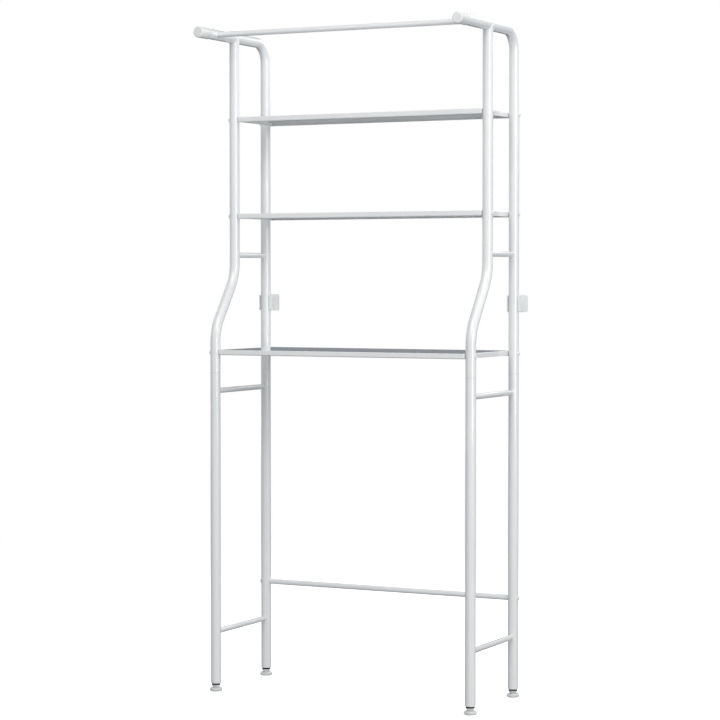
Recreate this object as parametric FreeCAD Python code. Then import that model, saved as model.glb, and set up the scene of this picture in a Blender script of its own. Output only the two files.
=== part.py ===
import FreeCAD, Part
import math
import os

from FreeCAD import Vector

# Over-the-toilet storage rack: two bent-tube side frames, three folded sheet-steel shelves,
# a towel rod, a back cross rail, four levelling feet and two wall clips.
# Millimetres. +Z is up, +X is the rack's left-to-right width and the front faces -Y.
# The origin is on the floor, under the middle of the whole rack's bounding box.

# ---------------------------------------------------------------- driving dimensions

# Side frames
FRAME_SPACING = 694.0          # between the two side frames, axis to axis
LOWER_DEPTH = 257.0            # front leg axis to rear leg axis, at the floor
UPPER_DEPTH = 160.0            # front upright axis to rear upright axis, above the S-bend
ARM_HEIGHT = 1630.0            # axis of the horizontal arms
ARM_REACH = 338.0              # rear upright axis to the front end of the arm's cap
TUBE_DIAMETER = 25.0
TUBE_WALL = 1.0
ARM_BEND_RADIUS = 48.0         # centre line of the bend from upright to arm
S_BEND_RADIUS = 100.0          # centre line of both curves of the S-bend
S_BEND_ANGLE = 36.0            # degrees from the vertical
S_BEND_START = 870.0           # height where the front tube starts to lean back
JOINT_HEIGHT = 795.0           # where the upper frames plug onto the lower frames
JOINT_LINE = 0.4               # open seam between the two tube ends
WELD_EAR_TRIM = 3.0            # the curved cut under the arm stops this far below its axis

# Rails
RAIL_DIAMETER = 13.0
RAIL_WALL = 0.8
LOWER_RAIL_HEIGHT = 149.0
MIDDLE_RAIL_HEIGHT = 750.0
UPPER_RAIL_HEIGHT = 1087.5
CROSS_RAIL_HEIGHT = 245.0
TOWEL_ROD_REACH = 257.0        # rear upright axis to the towel rod's axis

# Shelves
SHELF_SHEET = 0.8
SHELF_FLANGE = 13.0            # height of the folded edge, over the sheet
SHELF_LIP = 8.0                # width of the lip turned in under the front and back flanges
SHELF_TOP_BEND = 1.6           # outside radius of the top bends
SHELF_LIP_BEND = 3.2           # outside radius of the lip bends
SHELF_CORNER = 2.4             # outside radius of the upright corners
SHELF_OVERHANG = 9.0           # how far a shelf passes the tube axes, front and back
LOWER_SHELF_HEIGHT = 852.0
MIDDLE_SHELF_HEIGHT = 1191.0
TOP_SHELF_HEIGHT = 1433.0

# Fasteners
SCREW_DIAMETER = 5.0           # shelf and cross rail screws
SCREW_HEAD_DIAMETER = 9.6
SCREW_HEAD_HEIGHT = 3.0
SCREW_RECESS_DIAMETER = 3.6
SCREW_RECESS_DEPTH = 1.8
SCREW_TIP = 1.0                # how far a shelf screw passes its nut
NUT_ACROSS_FLATS = 8.0
NUT_THICKNESS = 4.0
END_NUT_LENGTH = 14.0          # threaded slug inside each end of the cross rail
END_NUT_INSET = 4.0
ROD_SCREW_DIAMETER = 4.0       # screws down through the arms into the towel rod
ROD_SCREW_HEAD_DIAMETER = 7.0
ROD_SCREW_HEAD_HEIGHT = 4.4
ROD_SCREW_LENGTH = 15.0
ROD_SCREW_SOCKET = 3.0         # hexagon socket, across flats
ROD_SCREW_SOCKET_DEPTH = 2.2
ROD_SCREW_EDGE_RADIUS = 0.6
ROD_END_PAST_AXIS = 6.0        # how far the rod reaches past the arm's axis

# Sleeves, caps and feet
SLEEVE_LENGTH = 80.0
SLEEVE_WALL = 1.2
CAP_LENGTH = 46.0
CAP_WALL = 1.0
CAP_END_THICKNESS = 3.0
CAP_EDGE_RADIUS = 3.5
PLUG_LENGTH = 20.0             # inside the leg
PLUG_BOSS_DIAMETER = 21.0      # the part of the plug that shows below the leg
PLUG_BOSS_HEIGHT = 4.2
PAD_DIAMETER = 31.0
PAD_HEIGHT = 9.0
PAD_TOP_RADIUS = 4.6
PAD_BOTTOM_RADIUS = 3.6
NECK_DIAMETER = 16.0
NECK_HEIGHT = 4.2
COLLAR_DIAMETER = 21.6
COLLAR_HEIGHT = 2.8
COLLAR_EDGE_RADIUS = 1.0
STUD_DIAMETER = 8.0
STUD_LENGTH = 40.0
STUD_TIP_CHAMFER = 1.0
STUD_SHOE_DIAMETER = 10.0      # plain end of the stud that turns in the pad
STUD_SHOE_HEIGHT = 5.4
PAD_SOCKET_DEPTH = 6.0

# Wall clips
CLIP_HEIGHT = 967.0            # middle of the clip
CLIP_JAW_WALL = 4.0
CLIP_JAW_LENGTH = 39.0         # along the tube
CLIP_JAW_HALF_ANGLE = 116.0    # each jaw, measured round the tube from the wall side
CLIP_LEAD_IN = 2.0             # how far forward the bore is swept to ease the jaws' tips
CLIP_JAW_CORNER = 6.0
CLIP_PLATE_WIDTH = 54.0
CLIP_PLATE_LENGTH = 42.0
CLIP_PLATE_THICKNESS = 4.0
CLIP_PLATE_CORNER = 5.0
CLIP_STANDOFF = 20.0           # tube axis to the front face of the plate
CLIP_WEB_WIDTH = 18.0
ADHESIVE_THICKNESS = 1.6
ADHESIVE_MARGIN = 2.0

# Named clearances
SLIDE_GAP = 0.05               # radial, where one round piece slides or screws in another
CLIP_GAP = 0.10                # radial, jaw to tube
SCREW_HOLE_GAP = 0.25          # radial, screw through a drilled hole
SHELF_SIDE_GAP = 0.10          # side flange to tube
SEAT_GAP = 0.20                # collar to plug, pad to neck

# Construction allowances, for cutting tools and overlapping joins; they leave no mark
OVERCUT = 2.0
JOIN = 0.5

# ---------------------------------------------------------------- derived sizes

tube_radius = TUBE_DIAMETER / 2
tube_bore_radius = tube_radius - TUBE_WALL
rail_radius = RAIL_DIAMETER / 2
rail_bore_radius = rail_radius - RAIL_WALL
side_x = FRAME_SPACING / 2
clip_back = CLIP_STANDOFF + CLIP_PLATE_THICKNESS + ADHESIVE_THICKNESS
rear_y = (ARM_REACH - clip_back) / 2
front_low_y = rear_y - LOWER_DEPTH
front_up_y = rear_y - UPPER_DEPTH
arm_front_y = rear_y - ARM_REACH
rod_y = rear_y - TOWEL_ROD_REACH
neck_bottom = PAD_HEIGHT + SEAT_GAP
collar_bottom = PAD_HEIGHT + NECK_HEIGHT
collar_top = collar_bottom + COLLAR_HEIGHT
inside_tube_radius = tube_bore_radius - SLIDE_GAP
boss_bottom = collar_top + SEAT_GAP
leg_bottom = boss_bottom + PLUG_BOSS_HEIGHT
shelf_half_width = side_x - tube_radius - SHELF_SIDE_GAP

UP = Vector(0, 0, 1)
RIGHT = Vector(1, 0, 0)
BACK = Vector(0, 1, 0)
SIDES = {"left": -1, "right": 1}

os.makedirs("parts", exist_ok=True)


def save(name, solids):
    """Write one node: a single solid, or a group of separate solids."""
    if isinstance(solids, list):
        shape = Part.makeCompound(solids)
    else:
        shape = solids
    shape.exportStep("parts/" + name + ".step")


def rod(radius, start, end):
    """A solid round bar between two points."""
    run = end.sub(start)
    return Part.makeCylinder(radius, run.Length, start, run)


def swept_bar(path, radius):
    """A solid round bar along a wire of straight runs and tangent arcs."""
    start = path.OrderedVertexes[0].Point
    tangent = path.OrderedEdges[0].tangentAt(path.OrderedEdges[0].FirstParameter)
    circle = Part.Wire(Part.makeCircle(radius, start, tangent))
    return path.makePipeShell([circle], True, False)


def straight_tube(radius, bore_radius, start, end):
    return rod(radius, start, end).cut(rod(bore_radius, start, end))


def turned(points):
    """A solid of revolution about +Z from (radius, height) points."""
    corners = [Vector(r, 0, z) for r, z in points]
    face = Part.Face(Part.makePolygon(corners + [corners[0]]))
    return face.revolve(Vector(0, 0, 0), UP, 360)


def edges_at_height(shape, height):
    """Edges that lie wholly in the horizontal plane at this height."""
    flat = []
    for edge in shape.Edges:
        box = edge.BoundBox
        if abs(box.ZMin - height) < 1e-6 and abs(box.ZMax - height) < 1e-6:
            flat.append(edge)
    return flat


# ---------------------------------------------------------------- upper rear tubes and arms
# One tube each: the rear upright, the bend and the arm that reaches forward over the rack.

def upper_rear_path(x):
    foot = Vector(x, rear_y, JOINT_HEIGHT + JOINT_LINE)
    bend_start = Vector(x, rear_y, ARM_HEIGHT - ARM_BEND_RADIUS)
    bend_end = Vector(x, rear_y - ARM_BEND_RADIUS, ARM_HEIGHT)
    short = ARM_BEND_RADIUS * (1 - math.cos(math.radians(45)))
    bend_middle = Vector(x, rear_y - short, ARM_HEIGHT - short)
    arm_end = Vector(x, arm_front_y + CAP_END_THICKNESS, ARM_HEIGHT)
    return Part.Wire([
        Part.LineSegment(foot, bend_start).toShape(),
        Part.Arc(bend_start, bend_middle, bend_end).toShape(),
        Part.LineSegment(bend_end, arm_end).toShape(),
    ])


def cross_hole(x, y, z):
    """A drill right through a tube, along X, for a shelf or cross rail screw."""
    reach = Vector(tube_radius + OVERCUT, 0, 0)
    centre = Vector(x, y, z)
    return rod(SCREW_DIAMETER / 2 + SCREW_HOLE_GAP, centre.sub(reach), centre.add(reach))


screw_drop = SHELF_FLANGE / 2
shelf_heights = [LOWER_SHELF_HEIGHT, MIDDLE_SHELF_HEIGHT, TOP_SHELF_HEIGHT]

for side, sign in SIDES.items():
    x = sign * side_x
    path = upper_rear_path(x)
    tube = swept_bar(path, tube_radius).cut(swept_bar(path, tube_bore_radius))
    for height in shelf_heights:
        tube = tube.cut(cross_hole(x, rear_y, height - screw_drop))
    # The towel rod enters through the arm's inner wall, and its screw through the top.
    rod_hole_end = Vector(x - sign * (tube_radius + OVERCUT), rod_y, ARM_HEIGHT)
    tube = tube.cut(rod(rail_radius + SLIDE_GAP, Vector(x, rod_y, ARM_HEIGHT), rod_hole_end))
    screw_hole_end = Vector(x, rod_y, ARM_HEIGHT + tube_radius + OVERCUT)
    screw_hole_radius = ROD_SCREW_DIAMETER / 2 + SLIDE_GAP
    tube = tube.cut(rod(screw_hole_radius, Vector(x, rod_y, ARM_HEIGHT), screw_hole_end))
    save("upper_rear_tube_" + side, tube)

# ---------------------------------------------------------------- upper front tubes
# Each runs up past the lower shelf, leans back through the S-bend to make room over the
# toilet, and stands under the arm, where its end is cut to the arm's curve and welded.

lean = math.radians(S_BEND_ANGLE)
curve_depth = S_BEND_RADIUS * (1 - math.cos(lean))
curve_height = S_BEND_RADIUS * math.sin(lean)
lean_length = (LOWER_DEPTH - UPPER_DEPTH - 2 * curve_depth) / math.sin(lean)


def upper_front_path(x):
    foot = Vector(x, front_low_y, JOINT_HEIGHT + JOINT_LINE)
    low_start = Vector(x, front_low_y, S_BEND_START)
    half_depth = S_BEND_RADIUS * (1 - math.cos(lean / 2))
    half_height = S_BEND_RADIUS * math.sin(lean / 2)
    low_middle = low_start.add(Vector(0, half_depth, half_height))
    low_end = low_start.add(Vector(0, curve_depth, curve_height))
    leaning = Vector(0, math.sin(lean), math.cos(lean)).multiply(lean_length)
    high_start = low_end.add(leaning)
    high_end = high_start.add(Vector(0, curve_depth, curve_height))
    high_middle = high_end.sub(Vector(0, half_depth, half_height))
    top = Vector(x, front_up_y, ARM_HEIGHT - WELD_EAR_TRIM)
    return Part.Wire([
        Part.LineSegment(foot, low_start).toShape(),
        Part.Arc(low_start, low_middle, low_end).toShape(),
        Part.LineSegment(low_end, high_start).toShape(),
        Part.Arc(high_start, high_middle, high_end).toShape(),
        Part.LineSegment(high_end, top).toShape(),
    ])


for side, sign in SIDES.items():
    x = sign * side_x
    path = upper_front_path(x)
    tube = swept_bar(path, tube_radius).cut(swept_bar(path, tube_bore_radius))
    arm = rod(tube_radius, Vector(x, arm_front_y, ARM_HEIGHT), Vector(x, rear_y, ARM_HEIGHT))
    tube = tube.cut(arm)
    tube = tube.cut(cross_hole(x, front_low_y, LOWER_SHELF_HEIGHT - screw_drop))
    tube = tube.cut(cross_hole(x, front_up_y, MIDDLE_SHELF_HEIGHT - screw_drop))
    tube = tube.cut(cross_hole(x, front_up_y, TOP_SHELF_HEIGHT - screw_drop))
    save("upper_front_tube_" + side, tube)

# ---------------------------------------------------------------- lower legs and sleeves
# Four straight legs. A steel sleeve in the top of each is what the upper tube plugs onto.

sleeves = []
for side, sign in SIDES.items():
    x = sign * side_x
    for end, y in (("front", front_low_y), ("rear", rear_y)):
        foot = Vector(x, y, leg_bottom)
        top = Vector(x, y, JOINT_HEIGHT)
        leg = straight_tube(tube_radius, tube_bore_radius, foot, top)
        if end == "rear":
            leg = leg.cut(cross_hole(x, y, CROSS_RAIL_HEIGHT))
        save("lower_" + end + "_leg_" + side, leg)
        sleeve_half = Vector(0, 0, SLEEVE_LENGTH / 2)
        sleeves.append(straight_tube(inside_tube_radius, inside_tube_radius - SLEEVE_WALL,
                                     top.sub(sleeve_half), top.add(sleeve_half)))
save("leg_sleeves", sleeves)

# ---------------------------------------------------------------- side rails
# Thin tubes welded between the front and rear tubes, their ends cut to the tubes' curve.

rails = {
    "lower_side_rail": (LOWER_RAIL_HEIGHT, front_low_y),
    "middle_side_rail": (MIDDLE_RAIL_HEIGHT, front_low_y),
    "upper_side_rail": (UPPER_RAIL_HEIGHT, front_up_y),
}
for name, (height, front_y) in rails.items():
    for side, sign in SIDES.items():
        front = Vector(sign * side_x, front_y, height)
        rear = Vector(sign * side_x, rear_y, height)
        rail = straight_tube(rail_radius, rail_bore_radius, front, rear)
        half = Vector(0, 0, RAIL_DIAMETER)
        rail = rail.cut(rod(tube_radius, front.sub(half), front.add(half)))
        rail = rail.cut(rod(tube_radius, rear.sub(half), rear.add(half)))
        save(name + "_" + side, rail)

# ---------------------------------------------------------------- screws
# Pan-head machine screws. Each is made pointing along -X from its head's seat at the origin.

def hex_bar(across_flats, length, start):
    """A hexagonal bar along +X."""
    corner_radius = across_flats / math.sqrt(3)
    corners = []
    for step in range(7):
        angle = math.radians(60 * step)
        corner = Vector(0, corner_radius * math.cos(angle), corner_radius * math.sin(angle))
        corners.append(start.add(corner))
    return Part.Face(Part.makePolygon(corners)).extrude(Vector(length, 0, 0))


def pan_head_screw(length):
    half = SCREW_HEAD_DIAMETER / 2
    head = Part.makeCylinder(half, SCREW_HEAD_HEIGHT, Vector(0, 0, 0), RIGHT)
    crown = [e for e in head.Edges if abs(e.BoundBox.XMin - SCREW_HEAD_HEIGHT) < 1e-6]
    head = head.makeFillet(SCREW_HEAD_HEIGHT / 2, crown)
    shank = rod(SCREW_DIAMETER / 2, Vector(JOIN, 0, 0), Vector(-length, 0, 0))
    recess_floor = Vector(SCREW_HEAD_HEIGHT - SCREW_RECESS_DEPTH, 0, 0)
    recess = hex_bar(SCREW_RECESS_DIAMETER, SCREW_RECESS_DEPTH + OVERCUT, recess_floor)
    return head.fuse(shank).removeSplitter().cut(recess)


def placed(shape, sign, position):
    """A copy for the right (+1) or left (-1) side: turned about Z, then moved to its place."""
    copy = shape.copy()
    if sign < 0:
        copy.rotate(Vector(0, 0, 0), UP, 180)
    copy.translate(position)
    return copy


flange_inner_x = shelf_half_width - SHELF_SHEET
shelf_screw_length = side_x + tube_radius - flange_inner_x + NUT_THICKNESS + SCREW_TIP
shelf_screw = pan_head_screw(shelf_screw_length)
weld_nut = hex_bar(NUT_ACROSS_FLATS, NUT_THICKNESS, Vector(-NUT_THICKNESS, 0, 0))
thread = rod(SCREW_DIAMETER / 2 + SLIDE_GAP,
             Vector(-NUT_THICKNESS - OVERCUT, 0, 0), Vector(OVERCUT, 0, 0))
weld_nut = weld_nut.cut(thread)

shelf_places = [
    (LOWER_SHELF_HEIGHT, front_low_y),
    (MIDDLE_SHELF_HEIGHT, front_up_y),
    (TOP_SHELF_HEIGHT, front_up_y),
]
shelf_screws = []
weld_nuts = []
for height, front_y in shelf_places:
    for y in (front_y, rear_y):
        for sign in SIDES.values():
            z = height - screw_drop
            head_seat = Vector(sign * (side_x + tube_radius), y, z)
            shelf_screws.append(placed(shelf_screw, sign, head_seat))
            nut_seat = Vector(sign * flange_inner_x, y, z)
            weld_nuts.append(placed(weld_nut, sign, nut_seat))
save("shelf_screws", shelf_screws)
save("shelf_weld_nuts", weld_nuts)

# ---------------------------------------------------------------- shelves
# Folded from one sheet each: flat top, a flange all round, and a stiffening lip turned in
# under the front and back flanges. The side flanges carry the screw holes.


def shelf(top, front_y):
    front = front_y - SHELF_OVERHANG
    back = rear_y + SHELF_OVERHANG
    depth = back - front
    width = 2 * shelf_half_width
    bottom = top - SHELF_FLANGE
    skin = Part.makeBox(width, depth, SHELF_FLANGE, Vector(-shelf_half_width, front, bottom))
    uprights = [e for e in skin.Edges if e.BoundBox.ZLength > SHELF_FLANGE / 2]
    skin = skin.makeFillet(SHELF_CORNER, uprights)
    skin = skin.makeFillet(SHELF_TOP_BEND, edges_at_height(skin, top))
    long_lips = [e for e in edges_at_height(skin, bottom) if e.BoundBox.XLength > width / 2]
    skin = skin.makeFillet(SHELF_LIP_BEND, long_lips)
    inner_front = front + SHELF_SHEET
    inner_depth = depth - 2 * SHELF_SHEET
    inner_width = width - 2 * SHELF_SHEET
    inner_bottom = bottom + SHELF_SHEET
    inner_height = SHELF_FLANGE - 2 * SHELF_SHEET
    corner = Vector(-inner_width / 2, inner_front, inner_bottom)
    hollow = Part.makeBox(inner_width, inner_depth, inner_height, corner)
    uprights = [e for e in hollow.Edges if e.BoundBox.ZLength > SHELF_FLANGE / 2]
    hollow = hollow.makeFillet(SHELF_CORNER - SHELF_SHEET, uprights)
    hollow = hollow.makeFillet(SHELF_TOP_BEND - SHELF_SHEET,
                               edges_at_height(hollow, inner_bottom + inner_height))
    long_lips = [e for e in edges_at_height(hollow, inner_bottom)
                 if e.BoundBox.XLength > width / 2]
    hollow = hollow.makeFillet(SHELF_LIP_BEND - SHELF_SHEET, long_lips)
    mouth = Part.makeBox(inner_width, depth - 2 * SHELF_LIP, SHELF_FLANGE / 2,
                         Vector(-inner_width / 2, front + SHELF_LIP, bottom - OVERCUT))
    tray = skin.cut(hollow).cut(mouth)
    reach = shelf_half_width + OVERCUT
    for y in (front_y, rear_y):
        z = top - screw_drop
        drill = rod(SCREW_DIAMETER / 2 + SCREW_HOLE_GAP, Vector(-reach, y, z), Vector(reach, y, z))
        tray = tray.cut(drill)
    return tray


save("lower_shelf", shelf(LOWER_SHELF_HEIGHT, front_low_y))
save("middle_shelf", shelf(MIDDLE_SHELF_HEIGHT, front_up_y))
save("top_shelf", shelf(TOP_SHELF_HEIGHT, front_up_y))

# ---------------------------------------------------------------- back cross rail
# A thin tube between the rear legs, drawn tight by a screw through each leg into a threaded
# slug in the rail's end.

rail_left = Vector(-side_x, rear_y, CROSS_RAIL_HEIGHT)
rail_right = Vector(side_x, rear_y, CROSS_RAIL_HEIGHT)
cross_rail = straight_tube(rail_radius, rail_bore_radius, rail_left, rail_right)
for end in (rail_left, rail_right):
    half = Vector(0, 0, RAIL_DIAMETER)
    cross_rail = cross_rail.cut(rod(tube_radius, end.sub(half), end.add(half)))
save("back_cross_rail", cross_rail)

rail_screw = pan_head_screw(TUBE_DIAMETER + END_NUT_INSET + END_NUT_LENGTH)
end_nut = straight_tube(rail_bore_radius - SLIDE_GAP, SCREW_DIAMETER / 2 + SLIDE_GAP,
                        Vector(-END_NUT_LENGTH, 0, 0), Vector(0, 0, 0))
rail_screws = []
end_nuts = []
for sign in SIDES.values():
    head_seat = Vector(sign * (side_x + tube_radius), rear_y, CROSS_RAIL_HEIGHT)
    rail_screws.append(placed(rail_screw, sign, head_seat))
    nut_face = Vector(sign * (side_x - tube_radius - END_NUT_INSET), rear_y, CROSS_RAIL_HEIGHT)
    end_nuts.append(placed(end_nut, sign, nut_face))
save("back_rail_screws", rail_screws)
save("back_rail_end_nuts", end_nuts)

# ---------------------------------------------------------------- towel rod
# A thin tube that enters both arms through their inner walls and is pinned in each by a
# cap screw from above.

rod_half = side_x + ROD_END_PAST_AXIS
towel_rod = straight_tube(rail_radius, rail_bore_radius,
                          Vector(-rod_half, rod_y, ARM_HEIGHT), Vector(rod_half, rod_y, ARM_HEIGHT))
rod_screws = []
for sign in SIDES.values():
    x = sign * side_x
    seat = Vector(x, rod_y, ARM_HEIGHT + tube_radius)
    head_top = seat.add(Vector(0, 0, ROD_SCREW_HEAD_HEIGHT))
    tip = seat.sub(Vector(0, 0, ROD_SCREW_LENGTH))
    head = rod(ROD_SCREW_HEAD_DIAMETER / 2, seat, head_top)
    head = head.makeFillet(ROD_SCREW_EDGE_RADIUS, edges_at_height(head, head_top.z))
    screw = head.fuse(rod(ROD_SCREW_DIAMETER / 2, tip, seat.add(Vector(0, 0, JOIN))))
    socket = hex_bar(ROD_SCREW_SOCKET, ROD_SCREW_SOCKET_DEPTH + OVERCUT, Vector(0, 0, 0))
    socket.rotate(Vector(0, 0, 0), BACK, -90)
    socket.translate(head_top.sub(Vector(0, 0, ROD_SCREW_SOCKET_DEPTH)))
    rod_screws.append(screw.removeSplitter().cut(socket))
    screw_hole = rod(ROD_SCREW_DIAMETER / 2 + SLIDE_GAP, Vector(x, rod_y, ARM_HEIGHT), head_top)
    towel_rod = towel_rod.cut(screw_hole)
save("towel_rod", towel_rod)
save("towel_rod_screws", rod_screws)

# ---------------------------------------------------------------- arm caps
# Moulded caps that slip over the arms' front ends.

for side, sign in SIDES.items():
    x = sign * side_x
    front = Vector(x, arm_front_y, ARM_HEIGHT)
    cap_outer_radius = tube_radius + SLIDE_GAP + CAP_WALL
    cap = rod(cap_outer_radius, front, front.add(Vector(0, CAP_LENGTH, 0)))
    front_edge = [e for e in cap.Edges if abs(e.BoundBox.YMax - arm_front_y) < 1e-6]
    cap = cap.makeFillet(CAP_EDGE_RADIUS, front_edge)
    pocket_start = front.add(Vector(0, CAP_END_THICKNESS, 0))
    pocket_end = front.add(Vector(0, CAP_LENGTH + OVERCUT, 0))
    cap = cap.cut(rod(tube_radius + SLIDE_GAP, pocket_start, pocket_end))
    save("arm_cap_" + side, cap)

# ---------------------------------------------------------------- levelling feet
# A plug pressed into the leg holds the thread. The stud and the grip moulded on it turn
# together and carry the pad, which stays still on the floor while the stud is turned.

stud_bore_radius = STUD_DIAMETER / 2 + SLIDE_GAP
plug = turned([
    (stud_bore_radius, boss_bottom),
    (PLUG_BOSS_DIAMETER / 2, boss_bottom),
    (PLUG_BOSS_DIAMETER / 2, leg_bottom),
    (inside_tube_radius, leg_bottom),
    (inside_tube_radius, leg_bottom + PLUG_LENGTH),
    (stud_bore_radius, leg_bottom + PLUG_LENGTH),
])

stud_foot = PAD_HEIGHT - PAD_SOCKET_DEPTH + SEAT_GAP
stud_top = stud_foot + STUD_LENGTH
stud = turned([
    (0, stud_foot),
    (STUD_SHOE_DIAMETER / 2, stud_foot),
    (STUD_SHOE_DIAMETER / 2, stud_foot + STUD_SHOE_HEIGHT),
    (STUD_DIAMETER / 2, stud_foot + STUD_SHOE_HEIGHT),
    (STUD_DIAMETER / 2, stud_top - STUD_TIP_CHAMFER),
    (STUD_DIAMETER / 2 - STUD_TIP_CHAMFER, stud_top),
    (0, stud_top),
])

neck_radius = NECK_DIAMETER / 2
collar_radius = COLLAR_DIAMETER / 2
grip = turned([
    (stud_bore_radius, neck_bottom),
    (neck_radius, neck_bottom),
    (neck_radius, collar_bottom),
    (collar_radius, collar_bottom),
    (collar_radius, collar_top),
    (stud_bore_radius, collar_top),
])
collar_rims = [e for e in grip.Edges if abs(e.BoundBox.XMax - collar_radius) < 1e-6
               and e.BoundBox.ZLength < 1e-6]
grip = grip.makeFillet(COLLAR_EDGE_RADIUS, collar_rims)

pad_radius = PAD_DIAMETER / 2
socket_radius = STUD_SHOE_DIAMETER / 2 + SLIDE_GAP
pad = turned([
    (0, 0),
    (pad_radius, 0),
    (pad_radius, PAD_HEIGHT),
    (socket_radius, PAD_HEIGHT),
    (socket_radius, PAD_HEIGHT - PAD_SOCKET_DEPTH),
    (0, PAD_HEIGHT - PAD_SOCKET_DEPTH),
])
for height, edge_radius in ((PAD_HEIGHT, PAD_TOP_RADIUS), (0, PAD_BOTTOM_RADIUS)):
    rim = [e for e in edges_at_height(pad, height) if abs(e.BoundBox.XMax - pad_radius) < 1e-6]
    pad = pad.makeFillet(edge_radius, rim)

plugs = []
for side, sign in SIDES.items():
    for end, y in (("front", front_low_y), ("rear", rear_y)):
        under_leg = Vector(sign * side_x, y, 0)
        corner_name = end + "_" + side
        plugs.append(plug.translated(under_leg))
        save("foot_pad_" + corner_name, pad.translated(under_leg))
        save("foot_grip_" + corner_name, grip.translated(under_leg))
        save("foot_stud_" + corner_name, stud.translated(under_leg))
save("leg_plugs", plugs)

# ---------------------------------------------------------------- wall clips
# A moulded C-jaw that snaps round the rear upright, on a plate that is stuck to the wall.

jaw_inner = tube_radius + CLIP_GAP
jaw_outer = jaw_inner + CLIP_JAW_WALL
jaw_bottom = CLIP_HEIGHT - CLIP_JAW_LENGTH / 2
jaw_angle = math.radians(CLIP_JAW_HALF_ANGLE)


def clip_plate(width, length, thickness, corner, front):
    """An upright plate with round corners, its front face at this distance from the tube."""
    low_corner = Vector(-width / 2, front, CLIP_HEIGHT - length / 2)
    plate = Part.makeBox(width, thickness, length, low_corner)
    return plate.makeFillet(corner, [e for e in plate.Edges if e.BoundBox.YLength > thickness / 2])


ring = Part.makeCylinder(jaw_outer, CLIP_JAW_LENGTH, Vector(0, 0, jaw_bottom), UP)
cut_bottom = jaw_bottom - OVERCUT
cut_length = CLIP_JAW_LENGTH + 2 * OVERCUT
bore = Part.makeCylinder(jaw_inner, cut_length, Vector(0, 0, cut_bottom), UP)
lead_in = Part.makeCylinder(jaw_inner, cut_length, Vector(0, -CLIP_LEAD_IN, cut_bottom), UP)
reach = 2 * jaw_outer
across = reach * math.sin(jaw_angle)
ahead = reach * math.cos(jaw_angle)
mouth_corners = [
    Vector(0, 0, cut_bottom),
    Vector(-across, ahead, cut_bottom),
    Vector(-reach, -reach, cut_bottom),
    Vector(reach, -reach, cut_bottom),
    Vector(across, ahead, cut_bottom),
]
mouth_face = Part.Face(Part.makePolygon(mouth_corners + [mouth_corners[0]]))
mouth = mouth_face.extrude(Vector(0, 0, cut_length))
# Seen from the side, the jaws' front corners are rounded off.
jaw_front = jaw_outer * math.cos(jaw_angle)
blank = Part.makeBox(2 * jaw_outer, CLIP_STANDOFF - jaw_front, CLIP_JAW_LENGTH,
                     Vector(-jaw_outer, jaw_front, jaw_bottom))
front_corners = [e for e in blank.Edges if e.BoundBox.XLength > jaw_outer
                 and e.BoundBox.YMax < jaw_front + 1e-6]
blank = blank.makeFillet(CLIP_JAW_CORNER, front_corners)
jaws = ring.common(blank).cut(mouth)
web = Part.makeBox(CLIP_WEB_WIDTH, CLIP_STANDOFF, CLIP_JAW_LENGTH,
                   Vector(-CLIP_WEB_WIDTH / 2, 0, jaw_bottom))
back_plate = clip_plate(CLIP_PLATE_WIDTH, CLIP_PLATE_LENGTH, CLIP_PLATE_THICKNESS,
                        CLIP_PLATE_CORNER, CLIP_STANDOFF)
clip = back_plate.fuse([web, jaws]).cut([bore, lead_in]).removeSplitter()
adhesive_front = CLIP_STANDOFF + CLIP_PLATE_THICKNESS
adhesive = clip_plate(CLIP_PLATE_WIDTH - 2 * ADHESIVE_MARGIN,
                      CLIP_PLATE_LENGTH - 2 * ADHESIVE_MARGIN,
                      ADHESIVE_THICKNESS, CLIP_PLATE_CORNER - ADHESIVE_MARGIN, adhesive_front)
for side, sign in SIDES.items():
    upright = Vector(sign * side_x, rear_y, 0)
    save("wall_clip_" + side, clip.translated(upright))
    save("wall_clip_adhesive_" + side, adhesive.translated(upright))
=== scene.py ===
import math

import bpy
from mathutils import Matrix, Vector


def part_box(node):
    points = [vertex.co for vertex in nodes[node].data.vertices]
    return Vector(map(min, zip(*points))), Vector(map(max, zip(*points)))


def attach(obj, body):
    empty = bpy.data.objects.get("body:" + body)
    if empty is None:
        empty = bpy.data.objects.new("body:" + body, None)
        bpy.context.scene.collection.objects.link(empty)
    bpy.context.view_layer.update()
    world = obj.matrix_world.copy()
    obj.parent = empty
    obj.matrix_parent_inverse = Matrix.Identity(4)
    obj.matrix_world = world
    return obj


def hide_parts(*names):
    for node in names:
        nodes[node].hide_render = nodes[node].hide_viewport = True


# Over-the-toilet storage rack: bent steel tube side frames, three folded sheet shelves, a towel
# rod, levelling feet and wall clips. Metres, +Z up, the front faces -Y.

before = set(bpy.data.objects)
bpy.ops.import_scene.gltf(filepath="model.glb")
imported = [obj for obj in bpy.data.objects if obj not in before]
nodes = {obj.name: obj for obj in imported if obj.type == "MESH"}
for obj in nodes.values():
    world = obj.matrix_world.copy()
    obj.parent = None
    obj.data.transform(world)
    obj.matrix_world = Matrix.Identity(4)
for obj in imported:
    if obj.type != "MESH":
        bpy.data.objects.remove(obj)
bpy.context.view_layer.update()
scene = bpy.context.scene

# ------------------------------------------------------------------------------------- studio
# A white floor, lit from below as well, that fades into a white surround, as in a light tent.
# The room is bright on the camera's side and dark and cool low down behind the rack, which
# draws its edges. A soft box on the right makes the streak down each tube, a high one fills
# the right-hand side, two behind the rack light its rims, one overhead lights whatever faces
# up, and the last fills the rack's back without a highlight.

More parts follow.
